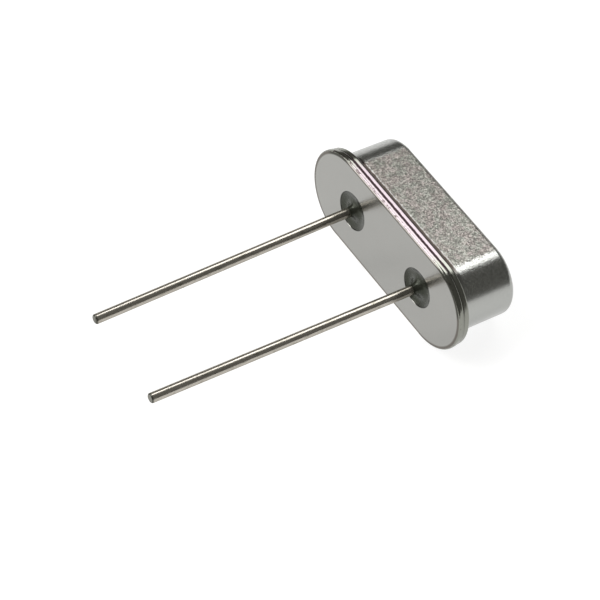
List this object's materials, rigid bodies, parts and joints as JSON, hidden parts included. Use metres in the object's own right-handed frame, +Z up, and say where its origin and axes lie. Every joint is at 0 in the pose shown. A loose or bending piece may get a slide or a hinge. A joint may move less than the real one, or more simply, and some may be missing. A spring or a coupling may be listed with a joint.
{
  "type": "crystal oscillator",
  "caption": "Low flat metal can on a welded base, with straight wire leads in glass seals and a quartz strip on spring clips inside; sets the timing of a circuit.",
  "frame": {"origin": "on the surface that the part lies on, under the middle of its bounding box", "axes": "+X from the left lead to the right lead; +Y from the lead tips towards the can's closed end; +Z up from the surface, with the part lying on one broad side, on the base's rim and the can's top edge"},
  "size_m": [0.0108, 0.0162, 0.0047],
  "materials": {
    "can_metal": "satin, finely stippled on the flat sides and bright on the flange",
    "base_metal": "smooth satin face with a bright rim",
    "seal_glass": "dark grey-green opaque glass, glossy",
    "lead_metal": "plated wire, bright, with fine lines from drawing along it",
    "clip_metal": "bright plated strip",
    "quartz": "finely lapped, clear",
    "electrode_film": "thin silver film",
    "conductive_adhesive": "silver-filled resin, matt"
  },
  "bodies": {
    "root": {"can_cover": "can_metal", "base_plate": "base_metal", "glass_seal_left": "seal_glass", "glass_seal_right": "seal_glass", "lead_left": "lead_metal", "lead_right": "lead_metal", "spring_clip_left": "clip_metal", "spring_clip_right": "clip_metal", "quartz_blank": "quartz", "electrode_front": "electrode_film", "electrode_back": "electrode_film", "adhesive_dot_left": "conductive_adhesive", "adhesive_dot_right": "conductive_adhesive"}
  },
  "joints": []
}
